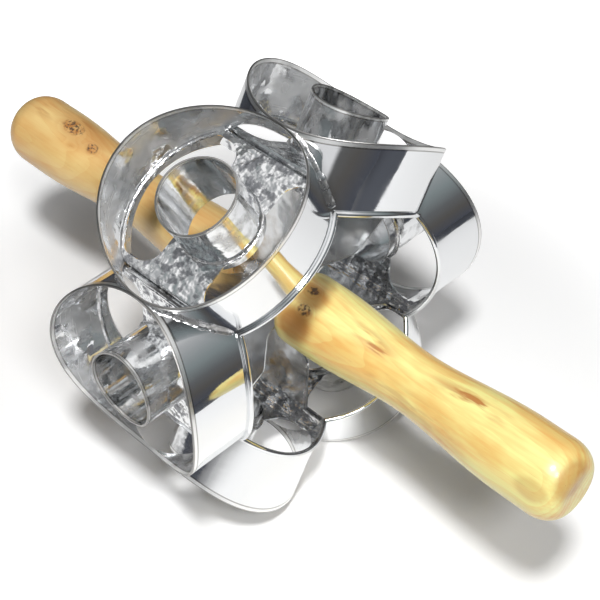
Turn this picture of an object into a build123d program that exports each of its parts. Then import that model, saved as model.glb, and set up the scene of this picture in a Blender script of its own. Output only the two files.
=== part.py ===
"""Rotating donut cutter: six soldered ring cutters that roll round an axle between two wooden handles.

The origin is the middle of the axle, halfway between the two handles. +X runs along the axle to
the right handle and +Z is up. Two neighbouring cutters meet straight under the axle, and the
roller stands against the right handle.
"""
from build123d import *
from math import asin, cos, degrees, hypot, pi, radians, sin, sqrt, tan
import os

# Cutter rings
ring_count = 6
cutter_diameter = 88.9
cutter_height = 30.5
cutter_wall = 0.8
edge_bead_radius = 1.2
edge_bead_inset = 0.1
solder_gap = 0.1

# Hole cutters
hole_diameter = 34.9
hole_wall = 0.8

# Stamped plates, set in from the roller surface
plate_depth = 26.4
plate_thickness = 0.8
plate_bend_radius = 1.0
plate_flange = 10.0
hole_foot = 5.5
solder_fit = 0.05

# Windows in each plate
arm_width = 27.6
rim_land = 1.2
collar_land = 1.2
seam_land = 4.0
arm_fillet = 8.5
rim_fillet = 6.0
collar_fillet = 4.0

# Fins that carry the plates on the hub
fin_thickness = 1.0
fin_width = 44.0
fin_flare = 13.0
fin_fillet = 4.0
fin_handle_clearance = 2.5

# Hub tube, its washers and its bush
hub_length = 25.4
hub_diameter = 16.0
hub_wall = 1.5
washer_thickness = 0.8
washer_clearance = 0.3
bush_running_fit = 0.05
bush_end_play = 0.1

# Axle rod
axle_diameter = 9.5
axle_running_fit = 0.05
axle_glue_fit = 0.05
axle_depth_in_handle = 76.0
axle_chamfer = 0.8

# Turned handles, measured from their inner faces
handle_gap = 34.0
handle_thrust_gap = 0.3
handle_length = 150.0
handle_face_radius = 11.0
handle_shoulder_start = 7.0
handle_shoulder_end = 18.0
handle_shoulder_radius = 17.0
handle_waist = 68.0
handle_waist_radius = 13.4
handle_grip_length = 14.0
handle_grip_radius = 17.4
handle_end_rounding = 12.0
handle_end_radius = 8.5
quarter_turn = 90.0

# Worked out from the sizes above
seam_angle = pi / ring_count
roller_radius = cutter_diameter / 2 / sin(seam_angle)
roller_x = handle_gap / 2 - handle_thrust_gap - hub_length / 2
cutter_inner_radius = cutter_diameter / 2 - cutter_wall
plate_radius = roller_radius - plate_depth
plate_outer_radius = cutter_inner_radius - solder_fit
flange_inset = fin_thickness / 2 + solder_fit + plate_thickness / 2
bend_y = (plate_radius * sin(seam_angle) - flange_inset) / cos(seam_angle)
collar_radius = hole_diameter / 2 + solder_fit + collar_land
window_outer_radius = plate_outer_radius - rim_land
window_end = bend_y - seam_land
hub_bore_radius = hub_diameter / 2 - hub_wall
hub_tube_length = hub_length - 2 * washer_thickness
handle_grip_end = handle_length - handle_end_rounding
handle_grip_start = handle_grip_end - handle_grip_length
ring_angles = [degrees((2 * index + 1) * seam_angle) for index in range(ring_count)]
seam_angles = [degrees(2 * index * seam_angle) for index in range(ring_count)]


def on_roller(angle):
    """Place on the roller of a piece made round +Z, turned about the axle."""
    return Location((roller_x, 0, 0), (angle, 0, 0))


def same(first, second):
    """True when two lengths match to a hundredth of a millimetre."""
    return abs(first - second) < 0.01


def bead_point(side, turn):
    """Point of a ring's rolled edge at an angle from the ring's widest point on one side."""
    track = cutter_inner_radius + edge_bead_inset + edge_bead_radius
    across = track * sin(turn)
    height = sqrt(roller_radius**2 - across**2) - cutter_height
    return (side * track * cos(turn), across, height)


def bead_reach():
    """Angle at which a ring's inner edge meets the seam, and a little past it."""
    slant = sqrt((roller_radius / sin(seam_angle)) ** 2 - cutter_height**2)
    across = sin(seam_angle) ** 2 * (slant - cutter_height / tan(seam_angle))
    return asin(2 * across / cutter_diameter) + radians(12)


def is_arm_corner(corner):
    """True at a window's end, beside an arm."""
    return same(abs(corner.Y), window_end) and same(abs(corner.X), arm_width / 2)


def is_rim_corner(corner):
    """True at a window's end, beside the ring."""
    return same(abs(corner.Y), window_end) and same(hypot(corner.X, corner.Y), window_outer_radius)


def is_collar_corner(corner):
    """True where a window's arm side meets the collar round the hole cutter."""
    return same(abs(corner.X), arm_width / 2) and same(hypot(corner.X, corner.Y), collar_radius)


# One cutter ring round +Z: a tube whose rim lies on the roller, mitred at both seams
with BuildPart() as ring:
    with BuildSketch():
        Circle(cutter_diameter / 2)
        Circle(cutter_inner_radius, mode=Mode.SUBTRACT)
    extrude(amount=roller_radius)
    with BuildSketch(Plane.YZ):
        Circle(roller_radius)
    extrude(amount=cutter_diameter, both=True, mode=Mode.INTERSECT)
    with BuildSketch(Plane.YZ):
        with Locations((0, -cutter_height)):
            Circle(roller_radius)
    extrude(amount=cutter_diameter, both=True, mode=Mode.SUBTRACT)
    for side in (-1, 1):
        turns = [bead_reach() * step / 6 for step in range(-6, 7)]
        with BuildLine() as edge:
            Spline(*[bead_point(side, turn) for turn in turns])
        with BuildSketch(Plane(origin=edge.line @ 0, z_dir=edge.line % 0)):
            Circle(edge_bead_radius)
        sweep(path=edge.line)
    with BuildSketch(Plane.YZ):
        apex = solder_gap / 2 / sin(seam_angle)
        half_width = 2 * roller_radius * tan(seam_angle)
        top = apex + 2 * roller_radius
        Polygon((0, apex), (half_width, top), (-half_width, top), align=None)
    extrude(amount=cutter_diameter, both=True, mode=Mode.INTERSECT)

# One hole cutter: a small tube through the plate, its rim on the same surface
with BuildPart() as tube:
    with BuildSketch(Plane.XY.offset(plate_radius - hole_foot)):
        Circle(hole_diameter / 2)
        Circle(hole_diameter / 2 - hole_wall, mode=Mode.SUBTRACT)
    extrude(amount=roller_radius)
    with BuildSketch(Plane.YZ):
        Circle(roller_radius)
    extrude(amount=hole_diameter, both=True, mode=Mode.INTERSECT)

# One stamped plate: a sheet bent in along both seams, with two windows and a hole
with BuildPart() as web:
    foot_y = bend_y - plate_flange * sin(seam_angle)
    foot_z = plate_radius - plate_flange * cos(seam_angle)
    with BuildSketch(Plane.YZ):
        with BuildLine():
            FilletPolyline(
                (-foot_y, foot_z),
                (-bend_y, plate_radius),
                (bend_y, plate_radius),
                (foot_y, foot_z),
                radius=plate_bend_radius,
            )
        trace(line_width=plate_thickness)
    extrude(amount=cutter_diameter / 2, both=True)
    with BuildSketch():
        Circle(plate_outer_radius)
    extrude(amount=roller_radius, mode=Mode.INTERSECT)
    with BuildSketch(Plane.XY.offset(plate_radius)):
        Circle(hole_diameter / 2 + solder_fit)
    extrude(amount=plate_thickness, both=True, mode=Mode.SUBTRACT)
    with BuildSketch(Plane.XY.offset(plate_radius)) as windows:
        Circle(window_outer_radius)
        Rectangle(cutter_diameter, 2 * window_end, mode=Mode.INTERSECT)
        Rectangle(arm_width, cutter_diameter, mode=Mode.SUBTRACT)
        Circle(collar_radius, mode=Mode.SUBTRACT)
        fillet(windows.vertices().filter_by(is_arm_corner), arm_fillet)
        fillet(windows.vertices().filter_by(is_rim_corner), rim_fillet)
        fillet(windows.vertices().filter_by(is_collar_corner), collar_fillet)
    extrude(amount=plate_thickness, both=True, mode=Mode.SUBTRACT)

# One fin: a sheet in the seam plane, waisted at the hub so that it clears the handles
with BuildPart() as sheet:
    root_z = handle_shoulder_radius + fin_handle_clearance
    shoulder_z = root_z + fin_flare
    top_z = (plate_radius + plate_thickness / 2) / cos(seam_angle)
    half_outline = [
        (hub_length / 2, hub_diameter / 2 + solder_fit),
        (hub_length / 2, root_z),
        (fin_width / 2, shoulder_z),
        (fin_width / 2, top_z),
    ]
    with BuildSketch(Plane.XZ) as outline:
        Polygon(*half_outline, *[(-x, z) for x, z in reversed(half_outline)], align=None)
        fillet(outline.vertices().filter_by(lambda corner: same(corner.Y, root_z)), fin_fillet)
        fillet(outline.vertices().filter_by(lambda corner: same(corner.Y, shoulder_z)), fin_fillet)
    extrude(amount=fin_thickness / 2, both=True)

os.makedirs("parts", exist_ok=True)

# Six of each round the axle, numbered from the first one towards -Y
for number, angle in enumerate(ring_angles, start=1):
    with BuildPart() as cutter_ring:
        with Locations(on_roller(angle)):
            add(ring.part)
    cutter_ring.part.label = f"cutter_ring_{number}"
    export_step(cutter_ring.part, f"parts/cutter_ring_{number}.step")

    with BuildPart() as hole_cutter:
        with Locations(on_roller(angle)):
            add(tube.part)
    hole_cutter.part.label = f"hole_cutter_{number}"
    export_step(hole_cutter.part, f"parts/hole_cutter_{number}.step")

    with BuildPart() as plate:
        with Locations(on_roller(angle)):
            add(web.part)
    plate.part.label = f"plate_{number}"
    export_step(plate.part, f"parts/plate_{number}.step")

for number, angle in enumerate(seam_angles, start=1):
    with BuildPart() as fin:
        with Locations(on_roller(angle)):
            add(sheet.part)
    fin.part.label = f"fin_{number}"
    export_step(fin.part, f"parts/fin_{number}.step")

# Hub tube on the roller's axis, closed by a washer at each end
with BuildPart() as hub_tube:
    with BuildSketch(Plane.YZ.offset(roller_x - hub_tube_length / 2)):
        Circle(hub_diameter / 2)
        Circle(hub_bore_radius, mode=Mode.SUBTRACT)
    extrude(amount=hub_tube_length)
hub_tube.part.label = "hub_tube"
export_step(hub_tube.part, "parts/hub_tube.step")

for side, name in ((-1, "hub_washer_left"), (1, "hub_washer_right")):
    with BuildPart() as hub_washer:
        with BuildSketch(Plane.YZ.offset(roller_x + side * hub_tube_length / 2)):
            Circle(hub_diameter / 2)
            Circle(axle_diameter / 2 + washer_clearance, mode=Mode.SUBTRACT)
        extrude(amount=side * washer_thickness)
    hub_washer.part.label = name
    export_step(hub_washer.part, f"parts/{name}.step")

# Bush between the washers: the hub turns on it and the rod slides through it
with BuildPart() as hub_bush:
    bush_length = hub_tube_length - 2 * bush_end_play
    with BuildSketch(Plane.YZ.offset(roller_x - bush_length / 2)):
        Circle(hub_bore_radius - bush_running_fit)
        Circle(axle_diameter / 2 + axle_running_fit, mode=Mode.SUBTRACT)
    extrude(amount=bush_length)
hub_bush.part.label = "hub_bush"
export_step(hub_bush.part, "parts/hub_bush.step")

# Axle rod, glued blind into both handles
with BuildPart() as axle_rod:
    axle_end = handle_gap / 2 + axle_depth_in_handle
    with BuildSketch(Plane.YZ):
        Circle(axle_diameter / 2)
    extrude(amount=axle_end, both=True)
    chamfer(axle_rod.edges().filter_by(GeomType.CIRCLE), axle_chamfer)
axle_rod.part.label = "axle_rod"
export_step(axle_rod.part, "parts/axle_rod.step")

# Right handle: a turned outline with rounded ends, a waist and a straight grip
with BuildPart() as handle_right:
    shoulder = (handle_shoulder_start, handle_shoulder_radius)
    neck = (handle_shoulder_end, handle_shoulder_radius)
    waist = (handle_waist, handle_waist_radius)
    grip_start = (handle_grip_start, handle_grip_radius)
    grip_end = (handle_grip_end, handle_grip_radius)
    with BuildSketch(Plane.XZ.move(Location((handle_gap / 2, 0, 0)))):
        with BuildLine():
            Polyline(
                (handle_length, handle_end_radius),
                (handle_length, 0),
                (0, 0),
                (0, handle_face_radius),
            )
            EllipticalCenterArc(
                (handle_shoulder_start, handle_face_radius),
                handle_shoulder_start,
                handle_shoulder_radius - handle_face_radius,
                start_angle=quarter_turn,
                arc_size=quarter_turn,
            )
            Line(shoulder, neck)
            Spline(neck, waist, grip_start, tangents=((1, 0), (1, 0)))
            Line(grip_start, grip_end)
            EllipticalCenterArc(
                (handle_grip_end, handle_end_radius),
                handle_end_rounding,
                handle_grip_radius - handle_end_radius,
                start_angle=0,
                arc_size=quarter_turn,
            )
        make_face()
    revolve(axis=Axis.X)
    with BuildSketch(Plane.YZ.offset(handle_gap / 2)):
        Circle(axle_diameter / 2 + axle_glue_fit)
    extrude(amount=axle_depth_in_handle + axle_glue_fit, mode=Mode.SUBTRACT)
handle_right.part.label = "handle_right"
export_step(handle_right.part, "parts/handle_right.step")

with BuildPart() as handle_left:
    mirror(handle_right.part, about=Plane.YZ)
handle_left.part.label = "handle_left"
export_step(handle_left.part, "parts/handle_left.step")
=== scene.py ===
"""A rolling donut cutter: six soldered ring cutters on an axle, between two turned wood handles."""
import math

import bpy
import numpy as np
from mathutils import Matrix, Vector


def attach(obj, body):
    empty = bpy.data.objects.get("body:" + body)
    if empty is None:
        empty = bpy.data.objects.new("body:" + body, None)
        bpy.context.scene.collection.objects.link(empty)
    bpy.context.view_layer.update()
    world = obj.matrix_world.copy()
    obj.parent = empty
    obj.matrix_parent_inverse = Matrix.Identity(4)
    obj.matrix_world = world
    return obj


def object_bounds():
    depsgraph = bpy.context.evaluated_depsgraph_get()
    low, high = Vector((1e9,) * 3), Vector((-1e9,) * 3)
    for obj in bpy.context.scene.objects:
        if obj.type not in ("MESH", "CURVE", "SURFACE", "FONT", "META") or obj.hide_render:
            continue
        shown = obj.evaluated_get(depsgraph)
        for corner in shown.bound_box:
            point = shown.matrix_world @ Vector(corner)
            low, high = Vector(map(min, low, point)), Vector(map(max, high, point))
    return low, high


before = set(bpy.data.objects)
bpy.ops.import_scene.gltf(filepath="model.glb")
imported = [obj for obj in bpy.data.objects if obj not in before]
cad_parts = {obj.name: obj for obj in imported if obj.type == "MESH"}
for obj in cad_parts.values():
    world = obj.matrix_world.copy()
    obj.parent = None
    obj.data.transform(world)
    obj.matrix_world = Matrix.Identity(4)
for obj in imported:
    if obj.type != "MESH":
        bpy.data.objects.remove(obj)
cad_box = [list(corner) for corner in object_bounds()]


# Cutter rings. Each is a strip of tinned sheet steel rolled into a short tube, its inner edge
# turned over a wire to stiffen it. The tin is bright outside, and dented and filmed with flux and
# flour inside. The cutting rim is ground to a rougher band that is painted bright as a highlight,
# with dark lines painted as shade behind the band and at the edge.
CUTTERS = range(1, 7)
CUTTER_STEP = math.radians(60)
FIRST_CUTTER = math.radians(30)
ROLLER_X = 0.004
ROLLER_RADIUS = 0.0889
RING_MIDDLE = 0.04405
WALL_BLUR = 0.0003
# The band below the rim is rougher and painted bright as a highlight. The lines behind it and at
# the edge are painted dark as shade.
RING_HIGHLIGHT_BAND_WIDTH = 0.0018
RING_DARK_LINE_FROM, RING_DARK_LINE_TO, RING_DARK_LINE_BLUR = 0.0017, 0.0022, 0.0002
RIM_LINE = 0.0003
RIM_BLUR = 0.0001
HAZE_STARTS, HAZE_FULL = 0.004, 0.0008
RING_TIN = (0.84, 0.85, 0.86, 1.0)
RING_HAZE = (0.55, 0.555, 0.56, 1.0)
RING_PAINTED_HIGHLIGHT = (0.90, 0.90, 0.89, 1.0)
# Dark grey for the dark lines painted as shade at the rim, and for the haze by the seams.
RING_HAZE_AND_SHADE_GREY = (0.30, 0.29, 0.28, 1.0)
# How many of each mark come to a metre, and the depth in metres of a mark of full strength.
RING_WAVES, RING_DENTS, RING_SMEARS, RING_BLOTCHES, RING_SCRATCHES = 26.0, 70.0, 55.0, 75.0, 14.0
SCRATCH_SQUEEZE = 0.012
SCRATCH_SHARE = 0.004
MARK_DEPTH = 0.001


class Socket:
    """A shader socket. Arithmetic on it adds Math nodes to its own tree."""

    def __init__(self, link):
        self.link = link
        self.tree = link.id_data

    def math(self, operation, other=0.0, swapped=False):
        first, second = (other, self) if swapped else (self, other)
        return add(self.tree, "ShaderNodeMath", {"operation": operation}, {0: first, 1: second})[0]

    def __add__(self, other):
        return self.math("ADD", other)

    def __sub__(self, other):
        return self.math("SUBTRACT", other)

    def __rsub__(self, other):
        return self.math("SUBTRACT", other, swapped=True)

    def __mul__(self, other):
        return self.math("MULTIPLY", other)

    __radd__ = __add__
    __rmul__ = __mul__

    def ramp(self, start, end):
        """0 before start and 1 past end, with a smooth step between. It falls where end is less."""
        settings = {"interpolation_type": "SMOOTHSTEP"}
        sockets = {"Value": self, "From Min": start, "From Max": end}
        return add(self.tree, "ShaderNodeMapRange", settings, sockets)[0]

    def band(self, low, high, blur):
        """1 between low and high and 0 beyond them, with each edge blurred to both sides."""
        return self.ramp(low - blur, low + blur) * self.ramp(high + blur, high - blur)


def add(tree, kind, settings=None, sockets=None):
    """Adds a node, with its settings first and then its sockets, and returns its outputs."""
    made = tree.nodes.new(kind)
    for key, value in (settings or {}).items():
        if key == "stops":
            for position, colour in value[1:-1]:
                made.color_ramp.elements.new(position)
            for stop, (position, colour) in zip(made.color_ramp.elements, value):
                stop.position, stop.color = position, colour
        else:
            setattr(made, key, value)
    for key, value in (sockets or {}).items():
        if isinstance(value, Socket):
            tree.links.new(value.link, made.inputs[key])
        else:
            made.inputs[key].default_value = value
    return [Socket(output) for output in made.outputs]


def mix(factor, first, second):
    """A colour that goes from the first to the second as the factor goes from 0 to 1."""
    sockets = {0: factor, 6: first, 7: second}
    return add(factor.tree, "ShaderNodeMix", {"data_type": "RGBA"}, sockets)[2]


def noise(place, scale, detail):
    """Smooth noise between 0 and 1, with scale blotches to the metre and detail finer layers."""
    sockets = {"Vector": place, "Scale": scale, "Detail": detail}
    return add(place.tree, "ShaderNodeTexNoise", None, sockets)[0]


def raise_by(height, distance):
    """A normal for a surface raised by height times distance, in metres."""
    return add(height.tree, "ShaderNodeBump", None, {"Height": height, "Distance": distance})[0]


def split(place):
    """The X, Y and Z of a place."""
    return add(place.tree, "ShaderNodeSeparateXYZ", None, {"Vector": place})


def new_finish(name, **plain_values):
    """A material with one Principled shader. Plain values are set straight on its sockets."""
    material = bpy.data.materials.new(name)
    material.use_nodes = True
    shader = material.node_tree.nodes["Principled BSDF"]
    for key, value in plain_values.items():
        shader.inputs[key.replace("_", " ")].default_value = value
    return material, shader


def object_place(shader):
    """The place on the object, in metres, for patterns that stay on it."""
    return add(shader.id_data, "ShaderNodeTexCoord")[3]


def plug(shader, **links):
    """Links patterns into a shader's sockets, by their names."""
    for key, link in links.items():
        shader.id_data.links.new(link.link, shader.inputs[key.replace("_", " ")])


def cutter_turn(number):
    """The angle about the axle at which a cutter points, 0 being straight up."""
    return FIRST_CUTTER + (number - 1) * CUTTER_STEP


def cutter_place(place, number, squeeze=1.0):
    """Place measured from the roller's centre, with Z along one cutter's axis.

    A pattern on it is squeezed along that axis, and so drawn out round the wall.
    """
    sockets = {
        "Vector": place,
        "Location": (ROLLER_X, 0, 0),
        "Rotation": (cutter_turn(number), 0, 0),
        "Scale": (1, 1, squeeze),
    }
    return add(place.tree, "ShaderNodeMapping", {"vector_type": "TEXTURE"}, sockets)[0]


def from_axle(place):
    """The distance from the axle: the root of y^2 + z^2."""
    _, y, z = split(place)
    return (y * y + z * z).math("SQRT")


def from_seam(place):
    """The distance from the nearest seam plane: the radius times the sine of the angle to it."""
    _, y, z = split(place)
    angle = y.math("ARCTAN2", z).math("PINGPONG", CUTTER_STEP / 2)
    return from_axle(place) * angle.math("SINE")


def inside_wall(place, number):
    """1 on a ring's inner wall and 0 on its outer wall, by the distance from the ring's axis."""
    x, y, _ = split(cutter_place(place, number))
    return (x * x + y * y).math("SQRT").ramp(RING_MIDDLE + WALL_BLUR, RING_MIDDLE - WALL_BLUR)


def cutting_rim(place, highlight_band_width, dark_line_from, dark_line_to, dark_line_blur):
    """1 on the rough band below the rim, painted bright as a highlight, and 1 on the dark lines
    painted as shade behind it and at the edge.
    """
    below_rim = ROLLER_RADIUS - from_axle(place)
    rough_highlight_band = below_rim.ramp(highlight_band_width + RIM_BLUR, highlight_band_width - RIM_BLUR)
    edge = below_rim.ramp(RIM_LINE + RIM_BLUR, RIM_LINE - RIM_BLUR)
    return rough_highlight_band, below_rim.band(dark_line_from, dark_line_to, dark_line_blur) + edge


def dress(name, material):
    """Gives a CAD node one material."""
    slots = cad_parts[name].data.materials
    slots.clear()
    slots.append(material)


def ring_finish(number):
    """Bright tin in long waves, with an inner wall that is dented and blotched with haze."""
    material, shader = new_finish(f"ring_tin_{number}")
    place = object_place(shader)
    inside = inside_wall(place, number)
    waves = noise(place, RING_WAVES, 1.0) * (0.3 + inside * 0.5)
    dents = noise(place, RING_DENTS, 2.0) * (0.05 + inside * 0.85)
    scratches = noise(cutter_place(place, number, SCRATCH_SQUEEZE), RING_SCRATCHES, 4.0)
    scored = scratches.ramp(0.55, 0.75)
    smears = noise(place, RING_SMEARS, 4.0).ramp(0.42, 0.7)
    blotches = noise(place, RING_BLOTCHES, 2.0).ramp(0.42, 0.62) * inside
    # The band's bright colour is a painted highlight, and its dark lines are painted shade.
    rough_highlight_band, painted_dark_lines = cutting_rim(
        place, RING_HIGHLIGHT_BAND_WIDTH, RING_DARK_LINE_FROM, RING_DARK_LINE_TO, RING_DARK_LINE_BLUR
    )
    solder_haze = from_seam(place).ramp(HAZE_STARTS, HAZE_FULL)
    dark = (painted_dark_lines * 0.9 + solder_haze * 0.3).math("MINIMUM", 1.0)
    tin = mix(rough_highlight_band, mix(blotches, RING_TIN, RING_HAZE), RING_PAINTED_HIGHLIGHT)
    plug(
        shader,
        Base_Color=mix(dark, tin, RING_HAZE_AND_SHADE_GREY),
        Metallic=1 - inside * (0.12 + blotches * 0.42),
        Roughness=0.05 + smears * 0.06 + scored * 0.08 + rough_highlight_band * 0.25 + blotches * 0.18,
        Normal=raise_by(waves + dents + scratches * SCRATCH_SHARE, MARK_DEPTH),
    )
    return material


for number in CUTTERS:
    dress(f"cutter_ring_{number}", ring_finish(number))

# Hole cutters. Small tubes of the same tinned sheet, pushed through the plates and soldered in.
# They have no wired edge, only the rim that cuts, which is ground like the rings' rims, with the
# same painted highlight on its band and the same dark lines painted as shade.
HOLE_HIGHLIGHT_BAND_WIDTH = 0.0012
HOLE_DARK_LINE_FROM, HOLE_DARK_LINE_TO, HOLE_DARK_LINE_BLUR = 0.00115, 0.00155, 0.00015
HOLE_TIN = (0.82, 0.83, 0.84, 1.0)
HOLE_WAVES, HOLE_DENTS, HOLE_SMEARS, HOLE_SCRATCHES = 60.0, 170.0, 120.0, 30.0


def hole_finish(number):
    """Tin smeared with haze, in finer marks than a ring's, because the tube is smaller."""
    material, shader = new_finish(f"hole_tin_{number}")
    place = object_place(shader)
    waves = noise(place, HOLE_WAVES, 1.0)
    dents = noise(place, HOLE_DENTS, 2.0)
    scratches = noise(cutter_place(place, number, SCRATCH_SQUEEZE), HOLE_SCRATCHES, 3.0)
    scored = scratches.ramp(0.5, 0.75)
    smears = noise(place, HOLE_SMEARS, 4.0).ramp(0.45, 0.65)
    # The band's bright colour is a painted highlight, and its dark lines are painted shade.
    rough_highlight_band, painted_dark_lines = cutting_rim(
        place, HOLE_HIGHLIGHT_BAND_WIDTH, HOLE_DARK_LINE_FROM, HOLE_DARK_LINE_TO, HOLE_DARK_LINE_BLUR
    )
    tin = mix(rough_highlight_band, mix(smears, HOLE_TIN, RING_HAZE), RING_PAINTED_HIGHLIGHT)
    plug(
        shader,
        Base_Color=mix(painted_dark_lines * 0.9, tin, RING_HAZE_AND_SHADE_GREY),
        Metallic=1 - smears * 0.3,
        Roughness=0.07 + smears * 0.14 + scored * 0.06 + rough_highlight_band * 0.2,
        Normal=raise_by(waves * 0.15 + dents * 0.12 + scratches * SCRATCH_SHARE, MARK_DEPTH),
    )
    return material


for number in CUTTERS:
    dress(f"hole_cutter_{number}", hole_finish(number))

# Plates. Stamped from the same sheet and dipped in tin after stamping, so that the tin lies on them
# in a thick, mottled coat. Each holds a hole cutter, and is soldered into its ring.
PLATE_CURDS, PLATE_WAVES, PLATE_MOTTLES = 180.0, 60.0, 260.0
PLATE_BRIGHT = (0.88, 0.885, 0.89, 1.0)
PLATE_DULL = (0.26, 0.265, 0.28, 1.0)


def plate_finish(number):
    """Curdled tin, mottled with dull grey."""
    material, shader = new_finish(f"plate_tin_{number}")
    place = object_place(shader)
    curds = noise(place, PLATE_CURDS, 2.0)
    waves = noise(place, PLATE_WAVES, 1.0)
    dull = noise(place, PLATE_MOTTLES, 4.0).ramp(0.48, 0.60)
    plug(
        shader,
        Base_Color=mix(dull, PLATE_BRIGHT, PLATE_DULL),
        Metallic=1 - dull * 0.2,
        Roughness=0.07 + dull * 0.15,
        Normal=raise_by(curds * 1.1 + waves * 0.5, MARK_DEPTH),
    )
    return material


for number in CUTTERS:
    dress(f"plate_{number}", plate_finish(number))

# Solder. Run in by hand with an iron, in the groove between two rings, round each hole cutter on
# both faces of its plate, and along each plate's edge. It is a soft grey tin that sets in ripples.
RING_RADIUS = 0.04445
RING_INSIDE = 0.04365
HOLE_RADIUS = 0.01745
PLATE_HEIGHT = 0.0625
PLATE_HALF = 0.0004
SEAM_FROM, SEAM_TO = 0.0032, 0.0312
SEAM_LEG, COLLAR_LEG, RIM_LEG = 0.0019, 0.0011, 0.0009
SEAM_SWELL = 0.02
LEAST_LEG = 0.00005
RIM_CLEARANCE = 0.0002
RIM_REACH = math.radians(50)
SINK = 0.00006
SEAM_POINTS, COLLAR_POINTS, RIM_POINTS, SECTION_POINTS = 90, 120, 90, 9
HOLLOW_SHARE = 0.3
CORNER_SHARE = 0.15
SOLDER_STAINS, SOLDER_RIPPLES = 220.0, 420.0
RIPPLE_DEPTH = 0.0005
SOLDER_GREY = (0.66, 0.66, 0.67, 1.0)
SOLDER_STAIN = (0.42, 0.41, 0.40, 1.0)

solder, solder_shader = new_finish("solder", Metallic=1.0)
solder_place = object_place(solder_shader)
solder_stains = noise(solder_place, SOLDER_STAINS, 3.0).ramp(0.4, 0.7)
plug(
    solder_shader,
    Base_Color=mix(solder_stains, SOLDER_GREY, SOLDER_STAIN),
    Roughness=0.2 + solder_stains * 0.2,
    Normal=raise_by(noise(solder_place, SOLDER_RIPPLES, 2.0), RIPPLE_DEPTH),
)


def bead_faces(rows, columns, joined_ends):
    """Triangles over a bead of rows sections. Point j of section i is number i * columns + j.

    Each section is joined to the next, and the last to the first where the ends are joined.
    Otherwise a fan closes each end, round one of two more points that follow the sections' own.
    """
    row = np.arange(rows if joined_ends else rows - 1)[:, None]
    column = np.arange(columns)[None, :]
    next_row, next_column = (row + 1) % rows, (column + 1) % columns
    corners = [
        row * columns + column,
        row * columns + next_column,
        next_row * columns + next_column,
        next_row * columns + column,
    ]
    quads = np.stack(corners, -1).reshape(-1, 4)
    triangles = [quads[:, [0, 1, 2]], quads[:, [0, 2, 3]]]
    if not joined_ends:
        around = np.arange(columns)
        ahead = (around + 1) % columns
        last = (rows - 1) * columns
        first_middle = np.full(columns, rows * columns)
        triangles.append(np.stack([first_middle, ahead, around], -1))
        triangles.append(np.stack([first_middle + 1, last + around, last + ahead], -1))
    return np.concatenate(triangles)


def bead_mesh(name, grids, joined_ends):
    """One mesh from closed beads. In grid[i, j], i runs along the bead and j round its section.

    Where the ends aren't joined, the middle of each end's section is one more point. Faces are
    turned so that the volume, a sixth of the sum of a . (b x c) over all triangles, is positive.
    """
    points, faces = [], []
    start = 0
    for grid in grids:
        rows, columns = grid.shape[:2]
        block = grid.reshape(-1, 3)
        if not joined_ends:
            block = np.concatenate([block, np.stack([grid[0].mean(0), grid[-1].mean(0)])])
        turned = bead_faces(rows, columns, joined_ends)
        a, b, c = (block[turned[:, corner]] for corner in range(3))
        if np.einsum("ij,ij->", a, np.cross(b, c)) < 0:
            turned = turned[:, ::-1]
        points.append(block)
        faces.append(turned + start)
        start += len(block)
    points, faces = np.concatenate(points), np.concatenate(faces)
    mesh = bpy.data.meshes.new(name)
    mesh.vertices.add(len(points))
    mesh.vertices.foreach_set("co", points.ravel().astype(np.float32))
    mesh.loops.add(faces.size)
    mesh.loops.foreach_set("vertex_index", faces.ravel().astype(np.int32))
    mesh.polygons.add(len(faces))
    mesh.polygons.foreach_set("loop_start", np.arange(0, faces.size, 3, dtype=np.int32))
    mesh.polygons.foreach_set("use_smooth", np.ones(len(faces), bool))
    mesh.update(calc_edges=True)
    mesh.validate()
    return mesh


def new_object(name, data):
    """An object in the scene, at the origin."""
    made = bpy.data.objects.new(name, data)
    bpy.context.scene.collection.objects.link(made)
    return made


def solder_piece(name, grids, joined_ends):
    """Beads of solder, as one piece that turns with the roller."""
    mesh = bead_mesh(name, grids, joined_ends)
    mesh.materials.append(solder)
    piece = new_object(name, mesh)
    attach(piece, "roller")


def uneven(along, seed):
    """The hand's unevenness along a bead, about 1: three sines whose lengths share no factor."""
    slow = 0.16 * np.sin(9 * along + seed)
    middling = 0.12 * np.sin(23 * along + 2.1 * seed)
    quick = 0.08 * np.sin(41 * along + seed)
    return 1 + slow + middling + quick


def tapered(position):
    """1 along a bead, and a tenth at its ends, at -1 and 1: the root of 1 - position^8."""
    return np.sqrt(np.clip(1 - position**8, 0.01, 1))


def hollow_section(first, second, corner):
    """A fillet's section: a hollow curve from first to second, and a point just behind the corner.

    The curve is (1 - t)^2 first + 2 t (1 - t) pull + t^2 second, where the pull lies on the line
    from the corner to the middle of the two feet, and nearer to the corner. The inputs are arrays
    of points along the bead.
    """
    t = np.linspace(0, 1, SECTION_POINTS)[None, :, None]
    middle = (first + second) / 2
    pull = corner + HOLLOW_SHARE * (middle - corner)
    curve = (1 - t) ** 2 * first[:, None] + 2 * t * (1 - t) * pull[:, None] + t**2 * second[:, None]
    behind = corner - CORNER_SHARE * (middle - corner)
    return np.concatenate([curve, behind[:, None]], axis=1)


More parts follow.
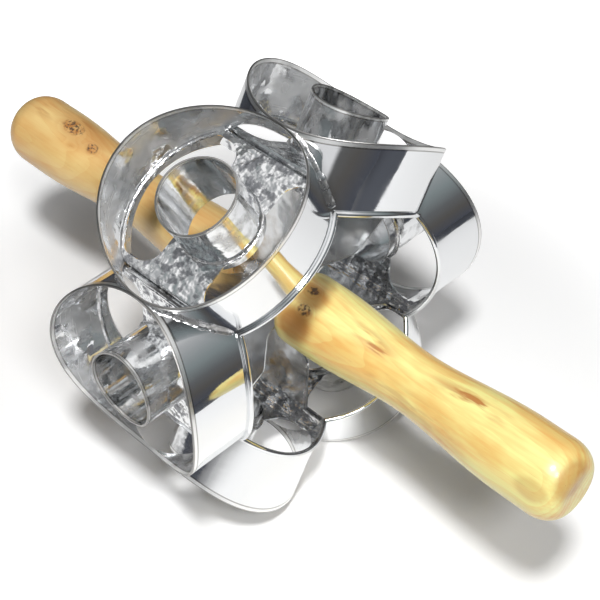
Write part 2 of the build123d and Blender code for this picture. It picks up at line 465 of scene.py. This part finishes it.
def seam_bead(side, seed):
    """A bead in the groove where two rings' outer walls meet, with Z outwards in the seam plane.

    The walls are tubes of radius R whose axes lean 30 degrees from the seam plane. They meet in the
    plane on the arch z = sqrt(R^2 - x^2) / sin 30. Each leg of the bead runs up a wall, at right
    angles to the arch, and gets short where the arch nears the cutting rim.
    """
    along = side * np.linspace(SEAM_FROM, SEAM_TO, SEAM_POINTS)
    lean = CUTTER_STEP / 2
    offset = np.sqrt(RING_RADIUS**2 - along**2)
    arch = np.stack([along, 0 * along, offset / math.sin(lean)], -1)
    tangent = np.stack([np.ones_like(along), 0 * along, -along / offset / math.sin(lean)], -1)
    tangent /= np.linalg.norm(tangent, axis=1, keepdims=True)
    room = (ROLLER_RADIUS - RIM_CLEARANCE - arch[:, 2]) / math.cos(lean)
    legs = np.minimum(SEAM_LEG * uneven(along / SEAM_SWELL, seed), np.maximum(room, LEAST_LEG))
    feet = []
    for across in (-1, 1):
        level, outwards = -across * offset * math.cos(lean), offset * math.sin(lean)
        normal = np.stack([along, level, outwards], -1) / RING_RADIUS
        wall = np.cross(tangent, normal)
        wall *= np.sign(wall[:, 1:2]) * across
        feet.append(arch + wall * legs[:, None] - normal * SINK)
    return hollow_section(feet[0], feet[1], arch)


def round_bead(radius, outwards, height, face, angles, legs):
    """A bead round a cutter's own axis, Z, between an upright wall and the face of a plate.

    At each angle it has one foot on the wall, at (radius, height + face * leg), and one on the
    plate, at (radius + outwards * leg, height).
    """
    direction = np.stack([np.cos(angles), np.sin(angles), 0 * angles], -1)
    axis = np.array([0.0, 0.0, 1.0])
    legs = legs[:, None]
    corner = direction * radius + axis * height
    on_wall = corner - direction * outwards * SINK + axis * face * legs
    on_plate = corner + direction * outwards * legs - axis * face * SINK
    return hollow_section(on_wall, on_plate, corner)


def about_axle(grid, turn):
    """Points from axes at the roller's centre, with Z outwards, turned about X into the frame."""
    x, y, z = np.moveaxis(grid, -1, 0)
    turned_y = y * math.cos(turn) - z * math.sin(turn)
    turned_z = y * math.sin(turn) + z * math.cos(turn)
    return np.stack([ROLLER_X + x, turned_y, turned_z], -1)


def seam_beads(bead, number):
    """The two beads of a kind at a seam, each uneven in its own way. Seam 1 is straight up."""
    turn = (number - 1) * CUTTER_STEP
    return [about_axle(bead(side, number + side), turn) for side in (-1, 1)]


def collar_beads(number):
    """The beads round a hole cutter, under and over its plate."""
    beads = []
    angles = np.linspace(0, 2 * math.pi, COLLAR_POINTS, endpoint=False)
    for face in (-1, 1):
        legs = COLLAR_LEG * uneven(angles, number + face)
        height = PLATE_HEIGHT + face * PLATE_HALF
        bead = round_bead(HOLE_RADIUS, 1, height, face, angles, legs)
        beads.append(about_axle(bead, cutter_turn(number)))
    return beads


def rim_beads(number):
    """The beads between a plate's outer face and its ring, at the plate's two round ends."""
    beads = []
    position = np.linspace(-1, 1, RIM_POINTS)
    for middle in (0, math.pi):
        angles = middle + RIM_REACH * position
        legs = RIM_LEG * uneven(angles, number + middle) * tapered(position)
        bead = round_bead(RING_INSIDE, -1, PLATE_HEIGHT + PLATE_HALF, 1, angles, legs)
        beads.append(about_axle(bead, cutter_turn(number)))
    return beads


for number in CUTTERS:
    solder_piece(f"seam_solder_{number}", seam_beads(seam_bead, number), False)
    solder_piece(f"collar_solder_{number}", collar_beads(number), True)
    solder_piece(f"rim_solder_{number}", rim_beads(number), False)

# Fins. Flat sheets in the seams that hold the plates off the hub. They are of dull tin, handled
# and fluxed, with brown flux stains towards the hub.
FLUX_STARTS, FLUX_FULL = 0.026, 0.009
FIN_STAINS, FIN_WAVES = 90.0, 70.0
FIN_DEPTH = 0.0006
FIN_BRIGHT = (0.72, 0.73, 0.74, 1.0)
FIN_STAIN = (0.40, 0.37, 0.33, 1.0)

fin_tin, fin_shader = new_finish("fin_tin", Metallic=1.0)
fin_place = object_place(fin_shader)
fin_stains = noise(fin_place, FIN_STAINS, 4.0).ramp(0.4, 0.75)
flux = from_axle(fin_place).ramp(FLUX_STARTS, FLUX_FULL)
fin_brown = (fin_stains * 0.6 + flux * 0.5).math("MINIMUM", 1.0)
plug(
    fin_shader,
    Base_Color=mix(fin_brown, FIN_BRIGHT, FIN_STAIN),
    Roughness=0.16 + fin_stains * 0.12 + flux * 0.1,
    Normal=raise_by(noise(fin_place, FIN_WAVES, 2.0), FIN_DEPTH),
)
for number in CUTTERS:
    dress(f"fin_{number}", fin_tin)

# Hub. A short steel tube with a washer pressed in each end, and a brass bush inside, in which the
# rod turns and slides. Each fin stands on the tube in a bead of solder on both sides.
HUB_RADIUS = 0.008
HUB_HALF = 0.0118
FIN_HALF = 0.0005
HUB_LEG = 0.0016
HUB_SWELL = 0.006
HUB_POINTS = 60
LATHE_CUTS, LATHE_SQUEEZE, LATHE_PATCHES = 60.0, 40, 130.0
LATHE_DEPTH = 0.00008
HUB_TIN = (0.66, 0.66, 0.67, 1.0)
BUSH_BRASS = (0.80, 0.60, 0.28, 1.0)
BUSH_TARNISH = (0.46, 0.33, 0.16, 1.0)


def scaled_along(place, times):
    """Place with its X multiplied, which squeezes a pattern along the axle, or draws it out."""
    sockets = {"Vector": place, "Scale": (times, 1, 1)}
    return add(place.tree, "ShaderNodeMapping", None, sockets)[0]


def turned_finish(name, bright, dull, roughness):
    """Metal turned on a lathe: fine rings across the X axis, and dull patches."""
    material, shader = new_finish(name, Metallic=1.0)
    place = object_place(shader)
    cuts = noise(scaled_along(place, LATHE_SQUEEZE), LATHE_CUTS, 3.0)
    patches = noise(place, LATHE_PATCHES, 3.0).ramp(0.4, 0.7)
    plug(
        shader,
        Base_Color=mix(patches, bright, dull),
        Roughness=roughness + cuts * 0.12,
        Normal=raise_by(cuts, LATHE_DEPTH),
    )
    return material


def hub_bead(side, seed):
    """A bead between a fin's face and the hub tube, with Z outwards in the fin's plane.

    One foot is on the fin, a leg above the tube. The other is on the tube, where y is half the
    fin's thickness and a leg, and z = sqrt(R^2 - y^2) for a tube of radius R.
    """
    along = np.linspace(-HUB_HALF, HUB_HALF, HUB_POINTS)
    legs = HUB_LEG * uneven(along / HUB_SWELL, seed) * tapered(along / HUB_HALF)
    root = math.sqrt(HUB_RADIUS**2 - FIN_HALF**2)
    corner = np.stack([along, 0 * along + side * FIN_HALF, 0 * along + root], -1)
    on_fin = corner + np.stack([0 * legs, 0 * legs - side * SINK, legs], -1)
    across = FIN_HALF + legs
    on_tube = np.stack([along, side * across, np.sqrt(HUB_RADIUS**2 - across**2) - SINK], -1)
    return hollow_section(on_fin, on_tube, corner)


hub_tin = turned_finish("hub_tin", HUB_TIN, FIN_STAIN, 0.18)
for name in ("hub_tube", "hub_washer_left", "hub_washer_right"):
    dress(name, hub_tin)
dress("hub_bush", turned_finish("bush_brass", BUSH_BRASS, BUSH_TARNISH, 0.22))
for number in CUTTERS:
    solder_piece(f"hub_solder_{number}", seam_beads(hub_bead, number), False)

# Axle. A drawn steel rod, cut to length and glued blind into both handles. It shows between the hub
# and the handles, a warm grey from handling.
ROD_BRIGHT = (0.62, 0.60, 0.58, 1.0)
ROD_DULL = (0.36, 0.33, 0.30, 1.0)

dress("axle_rod", turned_finish("rod_steel", ROD_BRIGHT, ROD_DULL, 0.2))

# Handles. Turned from a pale yellow hardwood with the grain along them, sanded and oiled to a soft
# shine. The figure is faint, with brown streaks and stains and a few small knots. Brown patches of
# painted shade lie on the right handle's far end and along its lower side.
PITH_Y, PITH_Z = 0.052, -0.034
GRAIN_SLOPE_Y, GRAIN_SLOPE_Z = 0.05, 0.03
RINGS_PER_METRE = 330.0
RING_WANDER = 3.2
KNOT_HUMP = 3.0
# How many of each mark come to a metre across the grain, and how many times longer it is along it.
WANDER, WANDER_LONG = 45.0, 3.0
FIBRES, FIBRES_LONG = 900.0, 22.0
CLOUDS, CLOUDS_LONG = 70.0, 3.0
WISPS, WISPS_LONG = 260.0, 7.0
PORES, PORES_LONG = 1700.0, 30.0
KNOT_SPECKS, KNOT_BLOTCHES = 800.0, 260.0
GRAIN_DEPTH = 0.00006
WOOD_BROWN = (0.46, 0.19, 0.04, 1.0)
WOOD_HEART = (0.10, 0.055, 0.025, 1.0)
# Pale wood, then deep wood. Each mark below is its middle, its half length and half width, and its
# strength.
RIGHT_WOOD = (0.90, 0.84, 0.32, 1.0), (0.82, 0.46, 0.125, 1.0)
RIGHT_KNOTS = [
    ((0.0325, -0.0110, 0.0129), 0.0068, 0.0056, 1.0),
    ((0.0300, -0.0030, 0.0170), 0.0062, 0.0050, 1.0),
]
# The first three are stains. The last three are painted shade: two on the right handle's far end,
# and one along its lower side.
RIGHT_STAINS_AND_SHADE = [
    ((0.0310, -0.0160, 0.0060), 0.0135, 0.0130, 0.85),
    ((0.0310, -0.0050, 0.0160), 0.0130, 0.0095, 0.8),
    ((0.0300, 0.0040, 0.0170), 0.0100, 0.0070, 0.45),
    ((0.1670, -0.0050, 0.0120), 0.0085, 0.0160, 0.85),
    ((0.1560, -0.0165, 0.0060), 0.0120, 0.0070, 0.5),
    ((0.0950, -0.0150, -0.0020), 0.0600, 0.0080, 0.25),
]
RIGHT_STREAKS = [
    ((0.0640, -0.0050, 0.0135), 0.0200, 0.0060, 0.8),
    ((0.0700, -0.0070, 0.0130), 0.0120, 0.0025, 1.6),
    ((0.1160, -0.0035, 0.0150), 0.0320, 0.0060, 0.9),
    ((0.1180, -0.0025, 0.0155), 0.0280, 0.0024, 1.8),
    ((0.0900, -0.0150, 0.0020), 0.0450, 0.0100, 0.5),
]
# The left handle is the same wood as the right, in darker, more tan colours: partly its own tone,
# and partly painted shade.
LEFT_WOOD = (0.84, 0.60, 0.24, 1.0), (0.74, 0.40, 0.125, 1.0)
LEFT_KNOTS = [
    ((-0.1290, -0.0015, 0.0169), 0.0135, 0.0080, 1.0),
    ((-0.1123, -0.0043, 0.0150), 0.0066, 0.0054, 1.0),
    ((-0.1220, -0.0084, 0.0141), 0.0070, 0.0045, 0.4),
]
LEFT_STAINS = [
    ((-0.1230, -0.0010, 0.0165), 0.0260, 0.0120, 0.5),
    ((-0.1560, -0.0030, 0.0120), 0.0120, 0.0100, 0.45),
]
LEFT_STREAKS = [
    ((-0.1280, 0.0035, 0.0165), 0.0220, 0.0080, 0.9),
    ((-0.1500, -0.0022, 0.0172), 0.0140, 0.0070, 0.7),
]


def strongest(marks):
    """The strongest of several marks at each place."""
    most = marks[0]
    for mark in marks[1:]:
        most = most.math("MAXIMUM", mark)
    return most


def wood_finish(name, pale, deep, knots, stains_and_shade, streaks):
    """Wood as nested tubes round a distant pith, bent round knots, with fibres drawn out along X.

    The ring number is the distance from the pith times the rings per metre, plus slow noise, plus a
    hump over each knot. Its fraction, smoothed, is the change from pale to deep wood in one year.
    """
    material, shader = new_finish(name, Coat_Weight=0.25, Coat_Roughness=0.16)
    place = object_place(shader)

    def drawn_out(scale, length, detail):
        """Noise drawn out along the grain."""
        return noise(scaled_along(place, 1 / length), scale, detail)

    def near(spot, reach, width):
        """1 at a spot and 0 beyond an oval, longer along X than across."""
        sockets = {"Vector": place, "Location": spot, "Scale": (reach, width, width)}
        local = add(place.tree, "ShaderNodeMapping", {"vector_type": "TEXTURE"}, sockets)[0]
        away = add(place.tree, "ShaderNodeVectorMath", {"operation": "LENGTH"}, {0: local})[1]
        return away.ramp(1.0, 0.0)

    x, y, z = split(place)
    from_pith_y = y - PITH_Y + x * GRAIN_SLOPE_Y
    from_pith_z = z - PITH_Z - x * GRAIN_SLOPE_Z
    from_pith = (from_pith_y * from_pith_y + from_pith_z * from_pith_z).math("SQRT")
    ring = from_pith * RINGS_PER_METRE + drawn_out(WANDER, WANDER_LONG, 2.0) * RING_WANDER
    hearts = [near(spot, reach, width) * strength for spot, reach, width, strength in knots]
    for heart in hearts:
        ring = ring + heart * KNOT_HUMP
    year = ring.math("FRACT").ramp(0.15, 0.95)
    fibres = drawn_out(FIBRES, FIBRES_LONG, 3.0).ramp(0.35, 0.75)
    clouds = drawn_out(CLOUDS, CLOUDS_LONG, 3.0).ramp(0.40, 0.66)
    wisps = drawn_out(WISPS, WISPS_LONG, 3.0).ramp(0.44, 0.58)
    pores = drawn_out(PORES, PORES_LONG, 1.0).ramp(0.68, 0.78)
    depth = (year * 0.24 + clouds * 0.62 + fibres * 0.22).math("MINIMUM", 1.0)

    heart = strongest(hearts)
    specks = noise(place, KNOT_SPECKS, 2.0).ramp(0.46, 0.6) * heart.ramp(0.4, 0.75)
    blotched = 0.5 + 0.5 * noise(place, KNOT_BLOTCHES, 3.0).ramp(0.4, 0.6)
    marks = [heart.ramp(0.0, 0.8) * blotched]
    cloudy = 0.75 + 0.25 * clouds
    # Some of these patches are painted shade rather than stains.
    for spot, reach, width, strength in stains_and_shade:
        marks.append(near(spot, reach, width).ramp(0.0, 0.6) * cloudy * strength)
    for spot, reach, width, strength in streaks:
        marks.append(near(spot, reach, width) * wisps * strength)
    brown = (strongest(marks) + pores * 0.18).math("MINIMUM", 1.0)
    plug(
        shader,
        Base_Color=mix(specks, mix(brown, mix(depth, pale, deep), WOOD_BROWN), WOOD_HEART),
        Roughness=0.34 + year * 0.06 + pores * 0.2,
        Normal=raise_by(fibres * 0.5 - pores * 0.8 + year * 0.4, GRAIN_DEPTH),
    )
    return material


wood_right = wood_finish("wood_right", *RIGHT_WOOD, RIGHT_KNOTS, RIGHT_STAINS_AND_SHADE, RIGHT_STREAKS)
dress("handle_right", wood_right)
wood_left = wood_finish("wood_left", *LEFT_WOOD, LEFT_KNOTS, LEFT_STAINS, LEFT_STREAKS)
dress("handle_left", wood_left)

# Studio: a white paper on a bench, in a dark room under a white ceiling. The bench, the room and
# the ceiling are white to the camera. The metal sees the paper's edge, and a wall that glows with
# painted light: dim walls, and a white card that stands on the camera's left.
FLOOR_Z = cad_box[0][2]
WHITE = (1, 1, 1, 1)
PAPER_HALF = 0.45
PAPER_WHITE = (0.95, 0.95, 0.95, 1.0)
PAPER_SHADE = (0.36, 0.36, 0.36, 1.0)
# On the camera's side, between these angles from -Y towards +X, the paper is painted darker between
# these distances from the middle: painted shade.
SHADE_STARTS, SHADE_FULL = 0.15, 0.50
SHADE_LEFT, SHADE_RIGHT, SHADE_BLUR = math.radians(15), math.radians(72), 0.15
# To the camera the paper glows, faintly near the cutter, where it keeps the shadow, and fully past
# the shadow. The metal sees the last share of glow everywhere.
GLOW_STARTS, GLOW_FULL = 0.165, 0.37
GLOW_NEAR, GLOW_MORE, GLOW_MIRRORED = 0.08, 0.92, 0.05
BENCH_HALF = 6.0
BENCH_DROP = 0.004
BENCH_DARK = (0.05, 0.055, 0.07, 1.0)
BENCH_SHADE = (0.24, 0.24, 0.245, 1.0)
WALL_RADIUS = 1.4
WALL_TOP = 2.4
WALL_SIDES = 48
WALL_STOPS = [
    (0.0, (0.060, 0.066, 0.085, 1.0)),
    (0.10, (0.085, 0.080, 0.075, 1.0)),
    (0.20, (0.11, 0.115, 0.12, 1.0)),
    (0.35, (0.21, 0.245, 0.25, 1.0)),
    (0.68, (0.42, 0.43, 0.44, 1.0)),
    (1.0, (0.85, 0.85, 0.85, 1.0)),
]
CARD_WHITE = (0.75, 0.75, 0.76, 1.0)
CARD_LEFT, CARD_RIGHT, CARD_SIDE_BLUR = math.radians(14), math.radians(42), 0.05
CARD_FOOT, CARD_FOOT_BLUR = 0.20, 0.04
CARD_TOP, CARD_TOP_BLUR = 0.80, 0.1
ROOM_FILL = 0.04


def stage_piece(name, points, faces):
    """A piece of the studio, from an array of points and one of faces."""
    mesh = bpy.data.meshes.new(name)
    mesh.from_pydata(points.tolist(), [], faces.tolist())
    piece = new_object(name, mesh)
    return piece


def flat_sheet(name, half, height):
    """A square sheet, level at a height: its corners are at (+-half, +-half, height)."""
    corners = np.array([(-1, -1), (1, -1), (1, 1), (-1, 1)])
    points = np.column_stack([half * corners, np.full(4, height)])
    return stage_piece(name, points, np.arange(4)[None, :])


def round_wall(name, radius, top):
    """An upright tube that stands on the floor: radius times (cos, sin), from the floor to top."""
    around = np.linspace(0, 2 * math.pi, WALL_SIDES, endpoint=False)
    turn, height = np.meshgrid(around, np.array([0.0, top]))
    points = np.stack([radius * np.cos(turn), radius * np.sin(turn), FLOOR_Z + height], -1)
    foot = np.arange(WALL_SIDES)
    ahead = (foot + 1) % WALL_SIDES
    faces = np.stack([foot, foot + WALL_SIDES, ahead + WALL_SIDES, ahead], -1)
    return stage_piece(name, points.reshape(-1, 3), faces)


def light_path(shader):
    """1 for rays from the camera, and 1 for rays off metal or through glass."""
    outputs = add(shader.id_data, "ShaderNodeLightPath")
    named = {output.link.name: output for output in outputs}
    mirrored = named["Is Glossy Ray"].math("MAXIMUM", named["Is Transmission Ray"])
    return named["Is Camera Ray"], mirrored


def floor_place(shader):
    """The distance from the middle of the floor, and 1 on the side that the camera stands on."""
    x, y, _ = split(object_place(shader))
    camera_side = x.math("ARCTAN2", y * -1).band(SHADE_LEFT, SHADE_RIGHT, SHADE_BLUR)
    return (x * x + y * y).math("SQRT"), camera_side


paper = flat_sheet("paper", PAPER_HALF, FLOOR_Z)
paper_white, paper_shader = new_finish("paper_white", Roughness=0.9, Emission_Color=WHITE)
paper.data.materials.append(paper_white)
seen, mirrored = light_path(paper_shader)
from_middle, camera_side = floor_place(paper_shader)
glow = seen * (GLOW_NEAR + GLOW_MORE * from_middle.ramp(GLOW_STARTS, GLOW_FULL))
# Painted shade on the paper, on the camera's side.
paper_shade = camera_side * from_middle.ramp(SHADE_STARTS, SHADE_FULL)
plug(
    paper_shader,
    Emission_Strength=glow + mirrored * GLOW_MIRRORED,
    Base_Color=mix(paper_shade, PAPER_WHITE, PAPER_SHADE),
)

bench = flat_sheet("bench", BENCH_HALF, FLOOR_Z - BENCH_DROP)
bench_dark, bench_shader = new_finish("bench_dark", Roughness=0.8, Emission_Color=WHITE)
bench.data.materials.append(bench_dark)
# On the camera's side the bench is painted a lighter grey, painted light that the metal sees.
bench_colour = mix(floor_place(bench_shader)[1], BENCH_DARK, BENCH_SHADE)
plug(bench_shader, Emission_Strength=light_path(bench_shader)[0], Base_Color=bench_colour)

# The wall glows and only the metal sees it: painted light of dim walls, lighter higher up, with a
# glowing white card on the camera's left.
wall = round_wall("wall", WALL_RADIUS, WALL_TOP)
wall.visible_camera = wall.visible_diffuse = wall.visible_shadow = False
wall.visible_transmission = False
wall_glow, wall_shader = new_finish(
    "wall_glow", Base_Color=(0, 0, 0, 1), Roughness=1.0, Emission_Strength=1.0
)
wall.data.materials.append(wall_glow)
wall_x, wall_y, wall_z = split(object_place(wall_shader))
above_floor = wall_z - FLOOR_Z
wall_height = above_floor * (1 / WALL_TOP)
wall_shade = add(wall_height.tree, "ShaderNodeValToRGB", {"stops": WALL_STOPS}, {0: wall_height})[0]
wall_turn = wall_x.math("ARCTAN2", wall_y * -1)
card = wall_turn.band(CARD_LEFT, CARD_RIGHT, CARD_SIDE_BLUR)
card = card * above_floor.ramp(CARD_FOOT - CARD_FOOT_BLUR, CARD_FOOT + CARD_FOOT_BLUR)
card = card * above_floor.ramp(CARD_TOP + CARD_TOP_BLUR, CARD_TOP - CARD_TOP_BLUR)
plug(wall_shader, Emission_Color=mix(card, wall_shade, CARD_WHITE))

world = bpy.data.worlds.new("studio")
bpy.context.scene.world = world
world.use_nodes = True
background = world.node_tree.nodes["Background"]
background.inputs["Color"].default_value = WHITE
seen, mirrored = light_path(background)
plug(background, Strength=ROOM_FILL + seen.math("MAXIMUM", mirrored) * (1 - ROOM_FILL))

# Lamps. Two soft round lamps hang 1.5 m from the cutter, on the camera's side: the main one above
# the camera, and a weaker one lower and to its right. The camera doesn't see them.
LAMP_AWAY = 1.5
# Each lamp's name, its turn from -Y towards +X, its rise from the level, its width and its watts.
LAMPS = [
    ("lamp_main", math.radians(40), math.radians(64), 0.22, 18.3),
    ("lamp_side", math.radians(60), math.radians(46), 0.30, 8.0),
]
roller_centre = Vector((ROLLER_X, 0, 0))


def direction(turn, rise):
    """A unit vector turned from -Y towards +X, and raised from the level."""
    level = math.cos(rise)
    return Vector((math.sin(turn) * level, -math.cos(turn) * level, math.sin(rise)))


for name, turn, rise, width, watts in LAMPS:
    light = bpy.data.lights.new(name, "AREA")
    light.shape = "DISK"
    light.size = width
    light.energy = watts
    lamp = new_object(name, light)
    lamp.visible_camera = False
    lamp.location = roller_centre + LAMP_AWAY * direction(turn, rise)
    lamp.rotation_euler = direction(turn, rise).to_track_quat("Z", "Y").to_euler()

# Camera, where the photograph was taken from. Its place, its roll and its focal length were fitted
# to points on the rings' edges. The picture's middle lies a little off the roller's centre.
CAMERA_TURN, CAMERA_RISE = math.radians(42.79), math.radians(43.08)
CAMERA_ROLL = math.radians(1.85)
CAMERA_AWAY = 0.6289
CENTRE_RIGHT, CENTRE_UP = -0.01127, 0.00567
FOCAL_PIXELS = 1435.92
PHOTO_PIXELS = 600
SENSOR = 36.0

back = direction(CAMERA_TURN, CAMERA_RISE)
level = Vector((math.cos(CAMERA_TURN), math.sin(CAMERA_TURN), 0.0))
upright = back.cross(level)
right = math.cos(CAMERA_ROLL) * level + math.sin(CAMERA_ROLL) * upright
up = math.cos(CAMERA_ROLL) * upright - math.sin(CAMERA_ROLL) * level
camera_spot = roller_centre - CENTRE_RIGHT * right - CENTRE_UP * up + CAMERA_AWAY * back
camera_data = bpy.data.cameras.new("camera")
camera_data.sensor_width = SENSOR
camera_data.lens = FOCAL_PIXELS / PHOTO_PIXELS * SENSOR
camera = new_object("camera", camera_data)
turn_to = Matrix((right, up, back)).transposed().to_4x4()
camera.matrix_world = Matrix.Translation(camera_spot) @ turn_to
bpy.context.scene.camera = camera

bpy.context.scene.view_settings.view_transform = "Standard"
